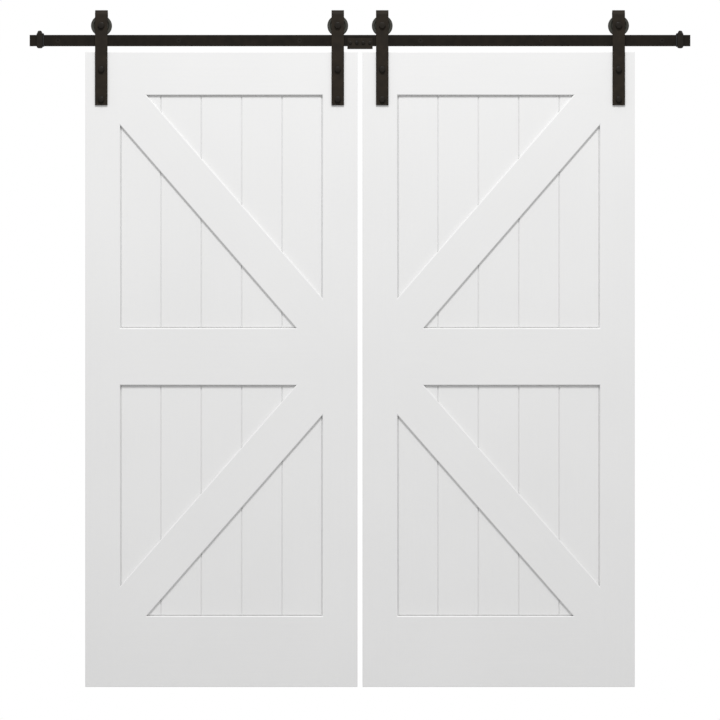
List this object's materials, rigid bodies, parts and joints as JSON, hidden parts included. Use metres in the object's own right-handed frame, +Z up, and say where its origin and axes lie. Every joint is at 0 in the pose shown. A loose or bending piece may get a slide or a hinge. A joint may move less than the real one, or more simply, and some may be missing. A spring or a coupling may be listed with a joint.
{
  "type": "sliding barn door",
  "caption": "Bi-parting sliding barn door: white leaves with K-braces over grooved panels, hung by bent straps and grooved wheels on a flat track with end stops.",
  "frame": {"origin": "on the face of the wall, in the middle of the row of wall screws, at the height of the middle of the track", "axes": "+X along the track to the right, +Y into the wall, +Z up; the leaves are closed and meet at X = 0"},
  "size_m": [2.2212, 0.1198, 2.2748],
  "materials": {
    "white_paint": "satin white paint over smooth primed board",
    "bronze_steel": "dark bronze satin powder coat",
    "strap_steel": "dark bronze satin powder coat",
    "wheel_steel": "dark bronze coat, rubbed on the rim",
    "zinc_steel": "zinc plated steel",
    "black_rubber": "matt black rubber"
  },
  "bodies": {
    "track": {"track_left_half": "bronze_steel", "track_right_half": "bronze_steel", "splice_plate": "bronze_steel", "splice_bolts": "bronze_steel", "splice_nuts": "bronze_steel", "wall_standoffs": "bronze_steel", "wall_screws": "bronze_steel", "left_end_stop": "bronze_steel", "right_end_stop": "bronze_steel", "left_stop_bumper": "black_rubber", "right_stop_bumper": "black_rubber", "stop_clamp_screws": "bronze_steel"},
    "left_leaf": {"left_outer_stile": "white_paint", "left_inner_stile": "white_paint", "left_top_rail": "white_paint", "left_middle_rail": "white_paint", "left_bottom_rail": "white_paint", "left_upper_panel": "white_paint", "left_lower_panel": "white_paint", "left_upper_front_brace": "white_paint", "left_upper_back_brace": "white_paint", "left_lower_front_brace": "white_paint", "left_lower_back_brace": "white_paint", "left_outer_strap": "strap_steel", "left_inner_strap": "strap_steel", "left_axle_bolts": "bronze_steel", "left_axle_nuts": "bronze_steel", "left_strap_bolts": "bronze_steel", "left_strap_washers": "bronze_steel", "left_axle_spacers": "zinc_steel", "left_strap_nuts": "zinc_steel"},
    "left_outer_wheel_set": {"left_outer_wheel": "wheel_steel", "left_outer_bearing": "zinc_steel"},
    "left_inner_wheel_set": {"left_inner_wheel": "wheel_steel", "left_inner_bearing": "zinc_steel"},
    "right_leaf": {"right_outer_stile": "white_paint", "right_inner_stile": "white_paint", "right_top_rail": "white_paint", "right_middle_rail": "white_paint", "right_bottom_rail": "white_paint", "right_upper_panel": "white_paint", "right_lower_panel": "white_paint", "right_upper_front_brace": "white_paint", "right_upper_back_brace": "white_paint", "right_lower_front_brace": "white_paint", "right_lower_back_brace": "white_paint", "right_outer_strap": "strap_steel", "right_inner_strap": "strap_steel", "right_axle_bolts": "bronze_steel", "right_axle_nuts": "bronze_steel", "right_strap_bolts": "bronze_steel", "right_strap_washers": "bronze_steel", "right_axle_spacers": "zinc_steel", "right_strap_nuts": "zinc_steel"},
    "right_outer_wheel_set": {"right_outer_wheel": "wheel_steel", "right_outer_bearing": "zinc_steel"},
    "right_inner_wheel_set": {"right_inner_wheel": "wheel_steel", "right_inner_bearing": "zinc_steel"}
  },
  "joints": [
    {"name": "left_leaf_slide", "type": "slide", "parent": "track", "child": "left_leaf", "axis": [-1, 0, 0], "range_m": [-0.0085, 0.1695]},
    {"name": "left_outer_wheel_spin", "type": "hinge", "parent": "left_leaf", "child": "left_outer_wheel_set", "pos_m": [-0.86915, -0.035, 0.0498], "axis": [0, -1, 0], "continuous": true},
    {"name": "left_inner_wheel_spin", "type": "hinge", "parent": "left_leaf", "child": "left_inner_wheel_set", "pos_m": [-0.07475, -0.035, 0.0498], "axis": [0, -1, 0], "continuous": true},
    {"name": "right_leaf_slide", "type": "slide", "parent": "track", "child": "right_leaf", "axis": [1, 0, 0], "range_m": [-0.0085, 0.1695]},
    {"name": "right_outer_wheel_spin", "type": "hinge", "parent": "right_leaf", "child": "right_outer_wheel_set", "pos_m": [0.86915, -0.035, 0.0498], "axis": [0, 1, 0], "continuous": true},
    {"name": "right_inner_wheel_spin", "type": "hinge", "parent": "right_leaf", "child": "right_inner_wheel_set", "pos_m": [0.07475, -0.035, 0.0498], "axis": [0, 1, 0], "continuous": true}
  ],
  "couplings": [
    {"joint": "left_outer_wheel_spin", "follows": "left_leaf_slide", "rad_per_m": 32.787},
    {"joint": "left_inner_wheel_spin", "follows": "left_leaf_slide", "rad_per_m": 32.787},
    {"joint": "right_outer_wheel_spin", "follows": "right_leaf_slide", "rad_per_m": 32.787},
    {"joint": "right_inner_wheel_spin", "follows": "right_leaf_slide", "rad_per_m": 32.787}
  ]
}
